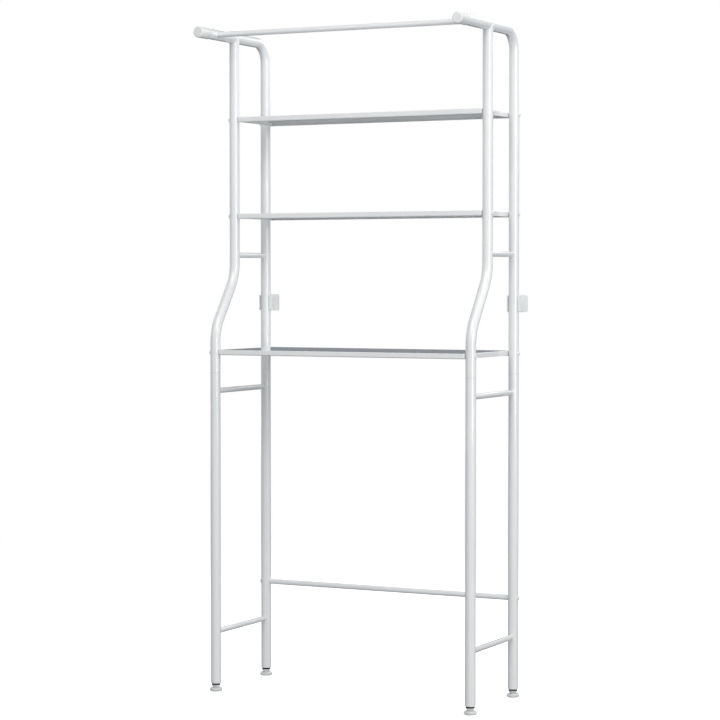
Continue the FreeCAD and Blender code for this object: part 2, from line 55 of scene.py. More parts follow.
MM = 0.001
FLOOR_LEVEL = -12.2 * MM      # just under the feet when they are turned right out
FLOOR_REACH = 9.0
FLOOR_SOLID_TO = 1.2          # from here outward the floor brightens into the white surround
FLOOR_WHITE_FROM = 3.6
FLOOR_PAINT = "#F3F3F3"
FLOOR_GLOW = 0.48
SURROUND = "#FFFFFF"
AIR_TONES = ((0.0, "#C3C3C3"), (0.5, "#ABACAE"), (0.8, "#868E96"), (0.86, "#5D656E"),
             (0.95, "#28313A"))
AIR_TURN = math.radians(4)    # the darkest part lies this far round from straight behind the rack
AIR_DROP = -0.8               # and this far below the level, against one unit of distance
CAMERA_PLACE = (2.541, -5.019, 1.0295)
CAMERA_TURN = math.radians(26.81)
CAMERA_DIP = math.radians(2.045)
CAMERA_LENS = 114.65


def linear(hex_colour):
    """An sRGB hex colour as linear RGBA."""
    channels = [int(hex_colour[i:i + 2], 16) / 255 for i in (1, 3, 5)]
    low = [c / 12.92 if c <= 0.04045 else ((c + 0.055) / 1.055) ** 2.4 for c in channels]
    return (*low, 1.0)


def add_node(tree, kind, links=None, values=None, **settings):
    """Add one node: its settings, the values of its open sockets, and what feeds the rest."""
    made = tree.nodes.new(kind)
    for name, value in settings.items():
        setattr(made, name, value)
    for socket, value in (values or {}).items():
        made.inputs[socket].default_value = value
    for socket, source in (links or {}).items():
        tree.links.new(source, made.inputs[socket])
    return made


def empty_tree(owner):
    """The node tree of a material or world, emptied."""
    owner.use_nodes = True
    owner.node_tree.nodes.clear()
    return owner.node_tree


def studio_floor():
    paint = bpy.data.materials.new("matt_white_floor_paint")
    tree = empty_tree(paint)
    place = add_node(tree, "ShaderNodeTexCoord")
    distance = add_node(tree, "ShaderNodeVectorMath", {0: place.outputs["Object"]}, operation="LENGTH")
    fade = add_node(tree, "ShaderNodeMapRange", {"Value": distance.outputs["Value"]},
                    {"From Min": FLOOR_SOLID_TO, "From Max": FLOOR_WHITE_FROM},
                    interpolation_type="SMOOTHSTEP")
    matt = add_node(tree, "ShaderNodeBsdfDiffuse", values={"Color": linear(FLOOR_PAINT)})
    glow = add_node(tree, "ShaderNodeEmission",
                    values={"Color": linear(SURROUND), "Strength": FLOOR_GLOW})
    near = add_node(tree, "ShaderNodeAddShader", {0: matt.outputs[0], 1: glow.outputs[0]})
    white = add_node(tree, "ShaderNodeEmission", values={"Color": linear(SURROUND)})
    both = add_node(tree, "ShaderNodeMixShader",
                    {0: fade.outputs["Result"], 1: near.outputs[0], 2: white.outputs[0]})
    add_node(tree, "ShaderNodeOutputMaterial", {"Surface": both.outputs[0]})
    bpy.ops.mesh.primitive_circle_add(vertices=96, radius=FLOOR_REACH, fill_type="NGON")
    floor = bpy.context.object
    floor.name = "studio_floor"
    floor.location.z = FLOOR_LEVEL
    floor.data.materials.append(paint)
    floor.visible_glossy = False
    floor.visible_diffuse = False


def studio_air():
    """White to the camera; to the rack, a soft grey room that is dark straight behind it."""
    air = bpy.data.worlds.new("studio_air")
    scene.world = air
    tree = empty_tree(air)
    direction = add_node(tree, "ShaderNodeTexCoord")
    turn = CAMERA_TURN + AIR_TURN
    darkest = Vector((-math.sin(turn), math.cos(turn), AIR_DROP)).normalized()
    side = add_node(tree, "ShaderNodeVectorMath", {0: direction.outputs["Generated"]},
                    {1: darkest}, operation="DOT_PRODUCT")
    nearness = add_node(tree, "ShaderNodeMapRange", {"Value": side.outputs["Value"]},
                        {"From Min": -1.0, "From Max": 1.0})
    tone = add_node(tree, "ShaderNodeValToRGB", {0: nearness.outputs["Result"]})
    stops = tone.color_ramp.elements
    while len(stops) < len(AIR_TONES):
        stops.new(0.5)
    for stop, (position, colour) in zip(stops, AIR_TONES):
        stop.position = position
        stop.color = linear(colour)
    room = add_node(tree, "ShaderNodeBackground", {"Color": tone.outputs["Color"]})
    surround = add_node(tree, "ShaderNodeBackground", values={"Color": linear(SURROUND)})
    seen = add_node(tree, "ShaderNodeLightPath")
    both = add_node(tree, "ShaderNodeMixShader",
                    {0: seen.outputs["Is Camera Ray"], 1: room.outputs[0], 2: surround.outputs[0]})
    add_node(tree, "ShaderNodeOutputWorld", {"Surface": both.outputs[0]})


def soft_box(name, turn, distance, height, size, watts, aim_height=0.85, mirrored=True):
    """A rectangular light; turn is measured round the rack from the camera, positive to the right.
    One that isn't mirrored lights the rack but makes no highlight on it."""
    data = bpy.data.lights.new(name, "AREA")
    data.shape = "RECTANGLE"
    data.size, data.size_y = size
    data.energy = watts
    light = bpy.data.objects.new(name, data)
    scene.collection.objects.link(light)
    angle = CAMERA_TURN + math.radians(turn)
    light.location = (distance * math.sin(angle), -distance * math.cos(angle), height)
    aim = Vector((0, 0, aim_height)) - light.location
    light.rotation_euler = aim.to_track_quat("-Z", "Y").to_euler()
    light.visible_glossy = mirrored


def studio_camera():
    data = bpy.data.cameras.new("camera")
    data.lens = CAMERA_LENS
    camera = bpy.data.objects.new("camera", data)
    scene.collection.objects.link(camera)
    camera.location = CAMERA_PLACE
    camera.rotation_euler = (math.pi / 2 - CAMERA_DIP, 0, CAMERA_TURN)
    scene.camera = camera


scene.view_settings.view_transform = "Standard"
studio_floor()
studio_air()
studio_camera()
soft_box("streak_right", turn=38, distance=3.6, height=1.5, size=(0.9, 2.2), watts=38, aim_height=1.2)
soft_box("side_right", turn=92, distance=1.8, height=2.5, size=(1.6, 1.0), watts=7, aim_height=1.5)
soft_box("rim_right", turn=150, distance=2.6, height=2.2, size=(1.4, 1.2), watts=9, aim_height=1.4)
soft_box("rim_left", turn=-140, distance=3.4, height=1.4, size=(1.2, 2.2), watts=11)
soft_box("high_front", turn=-8, distance=2.3, height=3.4, size=(2.6, 2.0), watts=37)
soft_box("back_fill", turn=178, distance=2.6, height=2.4, size=(2.6, 1.8), watts=24, mirrored=False)

# -------------------------------------------------------------------------------- side frames
# Uprights, arms, legs and rails: welded round steel tube, wiped, blasted and powder coated in
# gloss white polyester, then stoved. The coat flows out almost flat and keeps a faint orange
# peel; it is a little thicker and whiter where the spray gun dwelt.

COAT_WHITE = "#F5F6F6"
COAT_THIN = "#F0F2F3"
COAT_LOW_GREY = "#C6CBCF"
COAT_IOR = 1.5
THIN_FILM = 0.30              # the film noise runs from 0 to 1: thin below this
THICK_FILM = 0.62             # and thick above this
THIN_ROUGH = 0.27
THICK_ROUGH = 0.17
RESIN_SKIN = 0.8              # clear resin floats up while the coat is stoved, and shines most
RESIN_ROUGH = 0.09
RESIN_IOR = 1.6
GUN_SWEEP = 160 * MM          # length over which the coat's thickness wanders
NOISE_LOW = 0.3               # most of a noise lies between these two
NOISE_HIGH = 0.7
PEEL_CELL = 5 * MM            # real peel is 1 to 3 mm; drawn coarser so that it shows
PEEL_DEPTH = 0.010 * MM
TUBE_WAVE = 60 * MM           # drawn tube is never quite true under its gloss
TUBE_WAVE_DEPTH = 0.02 * MM
NIB_CELL = 0.7 * MM           # dust under the coat
NIB_DEPTH = 0.004 * MM
LOW_GREY_TOP = 0.11              # patchy bluish grey over the lowest 110 mm of the legs, darker towards the bottom
LOW_GREY_CELL = 6 * MM
LOW_GREY_MOST = 0.55
LOW_GREY_FROM = 0.52             # the patch noise runs from 0 to 1: no grey below this
LOW_GREY_FULL = 0.72             # and full grey above this


def gloss_powder_coat(name, wave_length, wave_depth):
    """Gloss polyester powder coat. The wave is how far the metal under it is from flat."""
    coat = bpy.data.materials.new(name)
    tree = empty_tree(coat)
    place = add_node(tree, "ShaderNodeTexCoord").outputs["Object"]
    film = add_node(tree, "ShaderNodeTexNoise", {"Vector": place},
                    {"Scale": 1 / GUN_SWEEP, "Detail": 3.0, "Roughness": 0.55}).outputs["Fac"]
    tint = add_node(tree, "ShaderNodeValToRGB", {"Fac": film})
    tint.color_ramp.elements[0].position = THIN_FILM
    tint.color_ramp.elements[0].color = linear(COAT_THIN)
    tint.color_ramp.elements[1].position = THICK_FILM
    tint.color_ramp.elements[1].color = linear(COAT_WHITE)

    # Patchy bluish grey over the lowest 110 mm of the legs, darker towards the bottom, which also
    # roughens the coat
    height = add_node(tree, "ShaderNodeSeparateXYZ", {"Vector": place}).outputs["Z"]
    near_floor = add_node(tree, "ShaderNodeMapRange", {"Value": height},
                          {"From Min": LOW_GREY_TOP, "From Max": 0.0,
                           "To Max": LOW_GREY_MOST}).outputs["Result"]
    patch_noise = add_node(tree, "ShaderNodeTexNoise", {"Vector": place},
                   {"Scale": 1 / LOW_GREY_CELL, "Detail": 5.0, "Roughness": 0.7}).outputs["Fac"]
    patches = add_node(tree, "ShaderNodeMapRange", {"Value": patch_noise},
                       {"From Min": LOW_GREY_FROM, "From Max": LOW_GREY_FULL}).outputs["Result"]
    low_grey = add_node(tree, "ShaderNodeMath", {0: near_floor, 1: patches},
                     operation="MULTIPLY").outputs["Value"]
    colour = add_node(tree, "ShaderNodeMix",
                      {"Factor": low_grey, 6: tint.outputs["Color"]}, {7: linear(COAT_LOW_GREY)},
                      data_type="RGBA").outputs[2]

    gloss = add_node(tree, "ShaderNodeMapRange", {"Value": film},
                     {"From Min": NOISE_LOW, "From Max": NOISE_HIGH,
                      "To Min": THIN_ROUGH, "To Max": THICK_ROUGH})
    rough = add_node(tree, "ShaderNodeMath", {0: low_grey, 1: gloss.outputs["Result"]},
                     operation="ADD", use_clamp=True).outputs["Value"]

    wave = add_node(tree, "ShaderNodeTexNoise", {"Vector": place},
                    {"Scale": 1 / wave_length, "Detail": 1.0}).outputs["Fac"]
    peel = add_node(tree, "ShaderNodeTexNoise", {"Vector": place},
                    {"Scale": 1 / PEEL_CELL, "Detail": 2.0, "Roughness": 0.4}).outputs["Fac"]
    nibs = add_node(tree, "ShaderNodeTexNoise", {"Vector": place},
                    {"Scale": 1 / NIB_CELL, "Detail": 1.0}).outputs["Fac"]
    bumped = add_node(tree, "ShaderNodeBump", {"Height": wave}, {"Distance": wave_depth})
    bumped = add_node(tree, "ShaderNodeBump",
                      {"Height": peel, "Normal": bumped.outputs["Normal"]}, {"Distance": PEEL_DEPTH})
    bumped = add_node(tree, "ShaderNodeBump",
                      {"Height": nibs, "Normal": bumped.outputs["Normal"]}, {"Distance": NIB_DEPTH})

    shader = add_node(tree, "ShaderNodeBsdfPrincipled",
                      {"Base Color": colour, "Roughness": rough, "Normal": bumped.outputs["Normal"]},
                      {"IOR": COAT_IOR, "Coat Weight": RESIN_SKIN, "Coat Roughness": RESIN_ROUGH,
                       "Coat IOR": RESIN_IOR})
    add_node(tree, "ShaderNodeOutputMaterial", {"Surface": shader.outputs["BSDF"]})
    return coat


def finish_node(name, material):
    """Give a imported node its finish."""
    for slot in nodes[name].material_slots:
        slot.material = material


tube_coat = gloss_powder_coat("gloss_powder_coat_on_tube", TUBE_WAVE, TUBE_WAVE_DEPTH)
TUBE_NODES = ("upper_rear_tube", "upper_front_tube", "lower_front_leg", "lower_rear_leg",
              "upper_side_rail", "middle_side_rail", "lower_side_rail")
for side in ("left", "right"):
    for kind in TUBE_NODES:
        finish_node(f"{kind}_{side}", tube_coat)
finish_node("back_cross_rail", tube_coat)
finish_node("towel_rod", tube_coat)

# Places that the later sections share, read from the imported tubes.
leg_low, leg_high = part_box("lower_rear_leg_right")
tube_radius = (leg_high.x - leg_low.x) / 2
side_x = (leg_high.x + leg_low.x) / 2
rear_y = (leg_high.y + leg_low.y) / 2
front_low, front_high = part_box("lower_front_leg_right")
front_low_y = (front_low.y + front_high.y) / 2
front_up_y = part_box("upper_front_tube_right")[1].y - tube_radius
rod_low, rod_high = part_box("towel_rod")
rod_y = (rod_low.y + rod_high.y) / 2
arm_z = (rod_low.z + rod_high.z) / 2

# --------------------------------------------------------------------------------- weld beads
# Each rail is welded all round to its two uprights, and each front upright to its arm, with a
# small rippled bead that the powder coat softens. The beads are laid by a node tree.

RAIL_BEAD = 1.3 * MM
ARM_BEAD = 1.7 * MM
RIPPLE = 1.7 * MM             # one ripple for each drop of weld metal
RIPPLE_SWELL = 0.06           # share of the bead's radius, once the coat has filled the hollows
BEAD_STEPS = 240
BEAD_SIDES = 10


def open_tree(name, inputs):
    """A geometry node tree with a geometry input, named inputs and a geometry output."""
    tree = bpy.data.node_groups.new(name, "GeometryNodeTree")
    tree.interface.new_socket("Geometry", in_out="INPUT", socket_type="NodeSocketGeometry")
    for label, kind in inputs.items():
        tree.interface.new_socket(label, in_out="INPUT", socket_type=kind)
    tree.interface.new_socket("Geometry", in_out="OUTPUT", socket_type="NodeSocketGeometry")
    return tree, add_node(tree, "NodeGroupInput").outputs


def close_tree(tree, places, item, material):
    """Set an item out on points, turned by their 'turn', and make it real geometry."""
    turn = add_node(tree, "GeometryNodeInputNamedAttribute", values={"Name": "turn"},
                    data_type="FLOAT_VECTOR")
    spin = add_node(tree, "FunctionNodeEulerToRotation", {"Euler": turn.outputs["Attribute"]})
    copies = add_node(tree, "GeometryNodeInstanceOnPoints",
                      {"Points": places, "Instance": item, "Rotation": spin.outputs["Rotation"]})
    real = add_node(tree, "GeometryNodeRealizeInstances", {"Geometry": copies.outputs["Instances"]})
    painted = add_node(tree, "GeometryNodeSetMaterial",
                       {"Geometry": real.outputs["Geometry"], "Material": material})
    add_node(tree, "NodeGroupOutput", {0: painted.outputs["Geometry"]})


def bead_tree():
    """A bead round the seam of a branch tube, along +Y, that meets a main tube along Z."""
    tree, given = open_tree("weld_bead", {
        "Main Radius": "NodeSocketFloat", "Branch Radius": "NodeSocketFloat",
        "Bead Radius": "NodeSocketFloat", "Ripples": "NodeSocketInt",
        "Swell": "NodeSocketFloat", "Material": "NodeSocketMaterial"})

    seam = add_node(tree, "GeometryNodeCurvePrimitiveCircle",
                    {"Radius": given["Branch Radius"]}, {"Resolution": BEAD_STEPS})
    spot = add_node(tree, "GeometryNodeInputPosition").outputs["Position"]
    apart = add_node(tree, "ShaderNodeSeparateXYZ", {"Vector": spot}).outputs
    main_square = add_node(tree, "ShaderNodeMath", {0: given["Main Radius"]}, {1: 2.0},
                           operation="POWER").outputs["Value"]
    across = add_node(tree, "ShaderNodeMath", {0: apart["X"]},
                      operation="ABSOLUTE").outputs["Value"]
    across_square = add_node(tree, "ShaderNodeMath", {0: across}, {1: 2.0},
                             operation="POWER").outputs["Value"]
    left_over = add_node(tree, "ShaderNodeMath", {0: main_square, 1: across_square},
                         operation="SUBTRACT", use_clamp=True).outputs["Value"]
    depth = add_node(tree, "ShaderNodeMath", {0: left_over}, operation="SQRT").outputs["Value"]
    saddle = add_node(tree, "ShaderNodeCombineXYZ", {"X": apart["X"], "Y": depth, "Z": apart["Y"]})
    bent = add_node(tree, "GeometryNodeSetPosition",
                    {"Geometry": seam.outputs["Curve"], "Position": saddle.outputs["Vector"]})
    along = add_node(tree, "GeometryNodeSplineParameter").outputs["Factor"]
    turns = add_node(tree, "ShaderNodeMath", {0: along, 1: given["Ripples"]},
                     operation="MULTIPLY").outputs["Value"]
    phase = add_node(tree, "ShaderNodeMath", {0: turns}, {1: math.tau},
                     operation="MULTIPLY").outputs["Value"]
    wave = add_node(tree, "ShaderNodeMath", {0: phase}, operation="SINE").outputs["Value"]
    thickness = add_node(tree, "ShaderNodeMath", {0: wave, 1: given["Swell"]}, {2: 1.0},
                         operation="MULTIPLY_ADD").outputs["Value"]
    section = add_node(tree, "GeometryNodeCurvePrimitiveCircle",
                       {"Radius": given["Bead Radius"]}, {"Resolution": BEAD_SIDES})
    bead = add_node(tree, "GeometryNodeCurveToMesh",
                    {"Curve": bent.outputs["Geometry"], "Profile Curve": section.outputs["Curve"],
                     "Scale": thickness})
    smooth = add_node(tree, "GeometryNodeSetShadeSmooth", {"Geometry": bead.outputs["Mesh"]})
    close_tree(tree, given["Geometry"], smooth.outputs["Geometry"], given["Material"])
    return tree


def set_out(name, tree, places, **inputs):
    """Run a node tree on places, each a (position, turn) pair, and keep a plain mesh."""
    points = bpy.data.meshes.new(name)
    points.from_pydata([position for position, turn in places], [], [])
    turns = points.attributes.new("turn", "FLOAT_VECTOR", "POINT")
    for item, (position, turn) in zip(turns.data, places):
        item.vector = turn
    holder = bpy.data.objects.new(name, points)
    scene.collection.objects.link(holder)
    modifier = holder.modifiers.new(tree.name, "NODES")
    modifier.node_group = tree
    wanted = {label.replace("_", " ").title(): value for label, value in inputs.items()}
    for socket in tree.interface.items_tree:
        if socket.in_out == "INPUT" and socket.name in wanted:
            modifier[socket.identifier] = wanted[socket.name]
    depsgraph = bpy.context.evaluated_depsgraph_get()
    grown = bpy.data.meshes.new_from_object(holder.evaluated_get(depsgraph), depsgraph=depsgraph)
    holder.modifiers.clear()
    holder.data = grown
    return holder


RAIL_LEVELS = (("lower_side_rail", front_low_y), ("middle_side_rail", front_low_y),
               ("upper_side_rail", front_up_y))
rail_ends = []
for rail, front_y in RAIL_LEVELS:
    low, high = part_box(rail + "_right")
    for x in (-side_x, side_x):
        rail_ends.append(((x, front_y, (low.z + high.z) / 2), (0, 0, 0)))
        rail_ends.append(((x, rear_y, (low.z + high.z) / 2), (0, 0, math.pi)))
rail_low, rail_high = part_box("upper_side_rail_right")
rail_radius = (rail_high.z - rail_low.z) / 2
arm_seats = []
for x in (-side_x, side_x):
    arm_seats.append(((x, front_up_y, arm_z), (-math.pi / 2, 0, 0)))

weld_bead = bead_tree()
rail_welds = set_out("rail_welds", weld_bead, rail_ends, main_radius=tube_radius,
                     branch_radius=rail_radius, bead_radius=RAIL_BEAD,
                     ripples=round(math.tau * rail_radius / RIPPLE), swell=RIPPLE_SWELL,
                     material=tube_coat)
arm_welds = set_out("arm_welds", weld_bead, arm_seats, main_radius=tube_radius,
                    branch_radius=tube_radius, bead_radius=ARM_BEAD,
                    ripples=round(math.tau * tube_radius / RIPPLE), swell=RIPPLE_SWELL,
                    material=tube_coat)
for welds in (rail_welds, arm_welds):
    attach(welds, "frame")

# ------------------------------------------------------------------------------------ shelves
# Each shelf is one sheet of 0.8 mm steel, folded down all round and powder coated with the
# frames. A large flat sheet this thin is never quite flat, so its reflections drift a little.

SHEET_WAVE = 170 * MM
SHEET_WAVE_DEPTH = 0.05 * MM

sheet_coat = gloss_powder_coat("gloss_powder_coat_on_sheet", SHEET_WAVE, SHEET_WAVE_DEPTH)
for shelf in ("lower_shelf", "middle_shelf", "top_shelf"):
    finish_node(shelf, sheet_coat)
finish_node("shelf_weld_nuts", sheet_coat)

# ------------------------------------------------------------------------------------- screws
# White painted machine screws with hexagon sockets: pan heads hold the shelves and the cross
# rail, and cap screws go down through the arms into the towel rod. Turned, rolled thread.

SCREW_SIDES = 36              # six sides of the socket fall on whole steps
SCREW_SCRATCH = "#AEB4B8"
HEAD_ARC_STEPS = 6
THREAD_STEPS = 6              # rings in one pitch
THREAD_DEPTH = 0.61           # of the pitch, as on an ISO metric thread
THREAD_FLANK = 1.4            # above 1 it leaves a narrow flat on the crest and in the root
THREAD_FLAT = 0.2
THREAD_POINT = 0.9            # of the root, where the blank was cropped
SHARP_ANGLE = math.radians(35)
SOCKET_LEAD_IN = 0.25 * MM
PAN_HEAD = {"radius": 4.8 * MM, "height": 3.0 * MM, "edge": 1.5 * MM, "socket": 3.6 * MM,
            "socket_depth": 1.8 * MM, "shank": 2.5 * MM, "pitch": 0.8 * MM}
CAP_HEAD = {"radius": 3.5 * MM, "height": 4.4 * MM, "edge": 0.6 * MM, "socket": 3.0 * MM,
            "socket_depth": 2.2 * MM, "shank": 2.0 * MM, "pitch": 0.7 * MM}
SHELF_SCREW_LENGTH = 30.9 * MM
RAIL_SCREW_LENGTH = 43.0 * MM
ROD_SCREW_LENGTH = 15.0 * MM
THREADED = 12.0 * MM
RUB_CELL = 1.2 * MM           # the real chips are 0.1 to 0.3 mm; drawn coarser so that they show
RUB_FROM = 0.60               # the rub noise runs from 0 to 1: whole paint below this
RUB_FULL = 0.74
RUB_MOST = 0.6
RUB_DEPTH = 0.01 * MM
ENAMEL_IOR = 1.5
ENAMEL_SMOOTH = 0.2
ENAMEL_ROUGH = 0.36
ENAMEL_SKIN = 0.3
ENAMEL_SKIN_ROUGH = 0.1


def ring(radius, height):
    """A level ring of points. The radius is a number or a function of the angle."""
    angles = [math.tau * step / SCREW_SIDES for step in range(SCREW_SIDES)]
    reach = [radius(angle) if callable(radius) else radius for angle in angles]
    return [(r * math.cos(a), r * math.sin(a), height) for r, a in zip(reach, angles)]


def hexagon(across_flats):
    """The radius of a hexagon at each angle."""
    def reach(angle):
        off_flat = (angle + math.pi / 6) % (math.pi / 3) - math.pi / 6
        return across_flats / 2 / math.cos(off_flat)
    return reach


def thread(crest, root, pitch, height):
    """The radius of a right-hand thread at each angle, at one height."""
    def reach(angle):
        phase = (height / pitch - angle / math.tau) % 1
        flank = min(max(abs(2 * phase - 1) * THREAD_FLANK - THREAD_FLAT, 0), 1)
        return root + (crest - root) * flank
    return reach


def skin(name, rings, bottom, top):
    """A closed mesh through rings of points, lowest first, with a pole at each end."""
    sides = len(rings[0])
    points = [(0, 0, bottom)] + [p for level in rings for p in level] + [(0, 0, top)]
    last = len(points) - 1
    faces = []
    for step in range(sides):
        after = (step + 1) % sides
        faces.append((0, 1 + after, 1 + step))
        faces.append((last, last - sides + step, last - sides + after))
        for level in range(len(rings) - 1):
            low, high = 1 + level * sides, 1 + (level + 1) * sides
            faces.append((low + step, low + after, high + after, high + step))
    mesh = bpy.data.meshes.new(name)
    mesh.from_pydata(points, [], faces)
    mesh.shade_smooth()
    mesh.set_sharp_from_angle(angle=SHARP_ANGLE)
    return mesh


def screw_mesh(name, head, length):
    """A machine screw: its head's seat at the origin, the head up and the shank down."""
    shank, pitch = head["shank"], head["pitch"]
    root = shank - THREAD_DEPTH * pitch
    thread_top = min(THREADED, length - pitch) - length
    rings = [ring(root * THREAD_POINT, -length)]
    turns = int((thread_top + length) / pitch * THREAD_STEPS)
    for step in range(1, turns + 1):
        height = -length + step * pitch / THREAD_STEPS
        crest = min(shank, root + step * pitch / THREAD_STEPS)
        rings.append(ring(thread(crest, root, pitch, height), height))
    rings.append(ring(shank, thread_top + pitch / THREAD_STEPS))
    rings.append(ring(shank, 0.0))
    rings.append(ring(head["radius"], 0.0))
    flat = head["radius"] - head["edge"]
    shoulder = head["height"] - head["edge"]
    for step in range(HEAD_ARC_STEPS + 1):
        angle = math.pi / 2 * step / HEAD_ARC_STEPS
        rings.append(ring(flat + head["edge"] * math.cos(angle),
                          shoulder + head["edge"] * math.sin(angle)))
    socket = hexagon(head["socket"])
    rings.append(ring(head["socket"] / math.sqrt(3) + SOCKET_LEAD_IN, head["height"]))
    rings.append(ring(socket, head["height"] - SOCKET_LEAD_IN))
    rings.append(ring(socket, head["height"] - head["socket_depth"]))
    floor = head["height"] - head["socket_depth"]
    return skin(name, rings, -length, floor - SOCKET_LEAD_IN)


def screw_paint():
    """Stoved white enamel on a steel screw. A hex key has rubbed it, so grey specks show."""
    enamel = bpy.data.materials.new("stoved_white_enamel_on_screw")
    tree = empty_tree(enamel)
    place = add_node(tree, "ShaderNodeTexCoord").outputs["Object"]
    patch_noise = add_node(tree, "ShaderNodeTexNoise", {"Vector": place},
                   {"Scale": 1 / RUB_CELL, "Detail": 4.0, "Roughness": 0.65}).outputs["Fac"]
    worn = add_node(tree, "ShaderNodeMapRange", {"Value": patch_noise},
                    {"From Min": RUB_FROM, "From Max": RUB_FULL,
                     "To Max": RUB_MOST}).outputs["Result"]
    colour = add_node(tree, "ShaderNodeMix", {"Factor": worn},
                      {6: linear(COAT_WHITE), 7: linear(SCREW_SCRATCH)}, data_type="RGBA")
    rough = add_node(tree, "ShaderNodeMapRange", {"Value": patch_noise},
                     {"From Min": NOISE_LOW, "From Max": NOISE_HIGH,
                      "To Min": ENAMEL_SMOOTH, "To Max": ENAMEL_ROUGH})
    bumped = add_node(tree, "ShaderNodeBump", {"Height": patch_noise}, {"Distance": RUB_DEPTH})
    shader = add_node(tree, "ShaderNodeBsdfPrincipled",
                      {"Base Color": colour.outputs[2], "Roughness": rough.outputs["Result"],
                       "Normal": bumped.outputs["Normal"]},
                      {"IOR": ENAMEL_IOR, "Coat Weight": ENAMEL_SKIN,
                       "Coat Roughness": ENAMEL_SKIN_ROUGH})
    add_node(tree, "ShaderNodeOutputMaterial", {"Surface": shader.outputs["BSDF"]})
    return enamel


def screw_tree():
    tree, given = open_tree("screws", {"Pattern": "NodeSocketObject", "Material": "NodeSocketMaterial"})
    pattern = add_node(tree, "GeometryNodeObjectInfo", {"Object": given["Pattern"]})
    close_tree(tree, given["Geometry"], pattern.outputs["Geometry"], given["Material"])
    return tree


def screws(name, head, length, places):
    """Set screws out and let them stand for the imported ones."""
    pattern = bpy.data.objects.new(name + "_pattern", screw_mesh(name, head, length))
    scene.collection.objects.link(pattern)
    made = set_out(name + "_threaded", driven_in, places, pattern=pattern, material=screw_enamel)
    bpy.data.objects.remove(pattern)
    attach(made, "frame")
    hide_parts(name)


FACING_OUT = {-1: (0, -math.pi / 2, 0), 1: (0, math.pi / 2, 0)}
screw_enamel = screw_paint()
driven_in = screw_tree()
shelf_places = []
for shelf, front_y in (("lower_shelf", front_low_y), ("middle_shelf", front_up_y),
                       ("top_shelf", front_up_y)):
    low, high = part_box(shelf)
    for y in (front_y, rear_y):
        for sign, turn in FACING_OUT.items():
            seat = (sign * (side_x + tube_radius), y, (low.z + high.z) / 2)
            shelf_places.append((seat, turn))
screws("shelf_screws", PAN_HEAD, SHELF_SCREW_LENGTH, shelf_places)

low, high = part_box("back_cross_rail")
rail_places = []
for sign, turn in FACING_OUT.items():
    rail_places.append(((sign * (side_x + tube_radius), rear_y, (low.z + high.z) / 2), turn))
screws("back_rail_screws", PAN_HEAD, RAIL_SCREW_LENGTH, rail_places)

rod_places = [((sign * side_x, rod_y, arm_z + tube_radius), (0, 0, 0)) for sign in FACING_OUT]
screws("towel_rod_screws", CAP_HEAD, ROD_SCREW_LENGTH, rod_places)

# ----------------------------------------------------------------------------------- arm caps
# Injection-moulded ABS caps pushed over the arms' open ends. The steel mould was spark
# eroded, which gives a fine even grain and a softer shine than the paint beside it.

CAP_WHITE = "#EBECEC"
CAP_SHADE = "#E1E2E3"
CAP_GRAIN = 1.1 * MM          # the real grain is 0.1 mm; drawn coarser so that it shows
CAP_GRAIN_DEPTH = 0.012 * MM
CAP_FLOW = 25 * MM
PLASTIC_IOR = 1.53            # ABS, polypropylene, polyethylene and nylon are 1.49 to 1.54
MELT_SHADED = 0.32            # the melt noise runs from 0 to 1: the shade's colour below this
MELT_LIGHT = 0.6              # and the light one above this
MELT_SHINE = 0.03             # how far the melt's flow moves the roughness down
MELT_DULL = 0.04              # and up
PLASTIC_SKIN_ROUGH = 0.2


def moulded_plastic(name, light, shade, grain, grain_depth, flow, roughness, coat_weight):
    """A moulded part: spark-eroded grain, and colour that drifts with the melt's flow."""
    plastic = bpy.data.materials.new(name)
    tree = empty_tree(plastic)
    place = add_node(tree, "ShaderNodeTexCoord").outputs["Object"]
    melt = add_node(tree, "ShaderNodeTexNoise", {"Vector": place},
                    {"Scale": 1 / flow, "Detail": 2.0, "Roughness": 0.4}).outputs["Fac"]
    tint = add_node(tree, "ShaderNodeValToRGB", {"Fac": melt})
    tint.color_ramp.elements[0].position = MELT_SHADED
    tint.color_ramp.elements[0].color = linear(shade)
    tint.color_ramp.elements[1].position = MELT_LIGHT
    tint.color_ramp.elements[1].color = linear(light)
    spark = add_node(tree, "ShaderNodeTexVoronoi", {"Vector": place},
                     {"Scale": 1 / grain, "Randomness": 1.0}, feature="SMOOTH_F1").outputs["Distance"]
    fine = add_node(tree, "ShaderNodeTexNoise", {"Vector": place},
                    {"Scale": 2 / grain, "Detail": 2.0}).outputs["Fac"]
    rough = add_node(tree, "ShaderNodeMapRange", {"Value": melt},
                     {"From Min": NOISE_LOW, "From Max": NOISE_HIGH,
                      "To Min": roughness - MELT_SHINE, "To Max": roughness + MELT_DULL})
    bumped = add_node(tree, "ShaderNodeBump", {"Height": spark}, {"Distance": grain_depth})
    bumped = add_node(tree, "ShaderNodeBump",
                      {"Height": fine, "Normal": bumped.outputs["Normal"]},
                      {"Distance": grain_depth / 2})
    shader = add_node(tree, "ShaderNodeBsdfPrincipled",
                      {"Base Color": tint.outputs["Color"], "Roughness": rough.outputs["Result"],
                       "Normal": bumped.outputs["Normal"]},
                      {"IOR": PLASTIC_IOR, "Coat Weight": coat_weight,
                       "Coat Roughness": PLASTIC_SKIN_ROUGH})
    add_node(tree, "ShaderNodeOutputMaterial", {"Surface": shader.outputs["BSDF"]})
    return plastic


cap_abs = moulded_plastic("spark_grained_white_abs", CAP_WHITE, CAP_SHADE, CAP_GRAIN,
                          CAP_GRAIN_DEPTH, CAP_FLOW, roughness=0.36, coat_weight=0.0)
for side in ("left", "right"):
    finish_node("arm_cap_" + side, cap_abs)

# --------------------------------------------------------------------------------- wall clips
# A C-jaw moulded in white polypropylene in one piece with its wall plate. It is polished
# harder than the caps and a little waxy, and the foam pad behind it holds it to the tiles.

